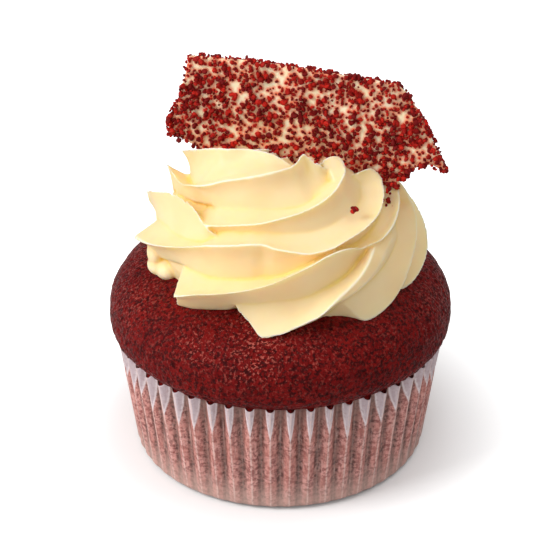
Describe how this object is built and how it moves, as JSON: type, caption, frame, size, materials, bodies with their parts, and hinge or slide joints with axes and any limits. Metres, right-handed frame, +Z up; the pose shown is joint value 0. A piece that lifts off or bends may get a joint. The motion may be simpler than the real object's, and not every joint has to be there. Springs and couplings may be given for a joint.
{
  "type": "cupcake",
  "caption": "Cupcake: a domed dark red sponge in a fluted paper case, with a piped swirl of cream frosting and a crumb-coated shard of white chocolate standing in it.",
  "frame": {"origin": "centre of the paper case's flat base, on the surface it stands on", "axes": "+Z up through the middle of the cake, -Y towards the front, where the broad face of the shard looks"},
  "size_m": [0.0698, 0.0698, 0.0839],
  "materials": {
    "case": "satin translucent greaseproof paper",
    "cake": "matte, fine crumb",
    "frosting": "smooth satin",
    "shard": "satin"
  },
  "bodies": {
    "root": {"case": "case", "cake": "cake", "frosting": "frosting", "shard": "shard"}
  },
  "joints": []
}
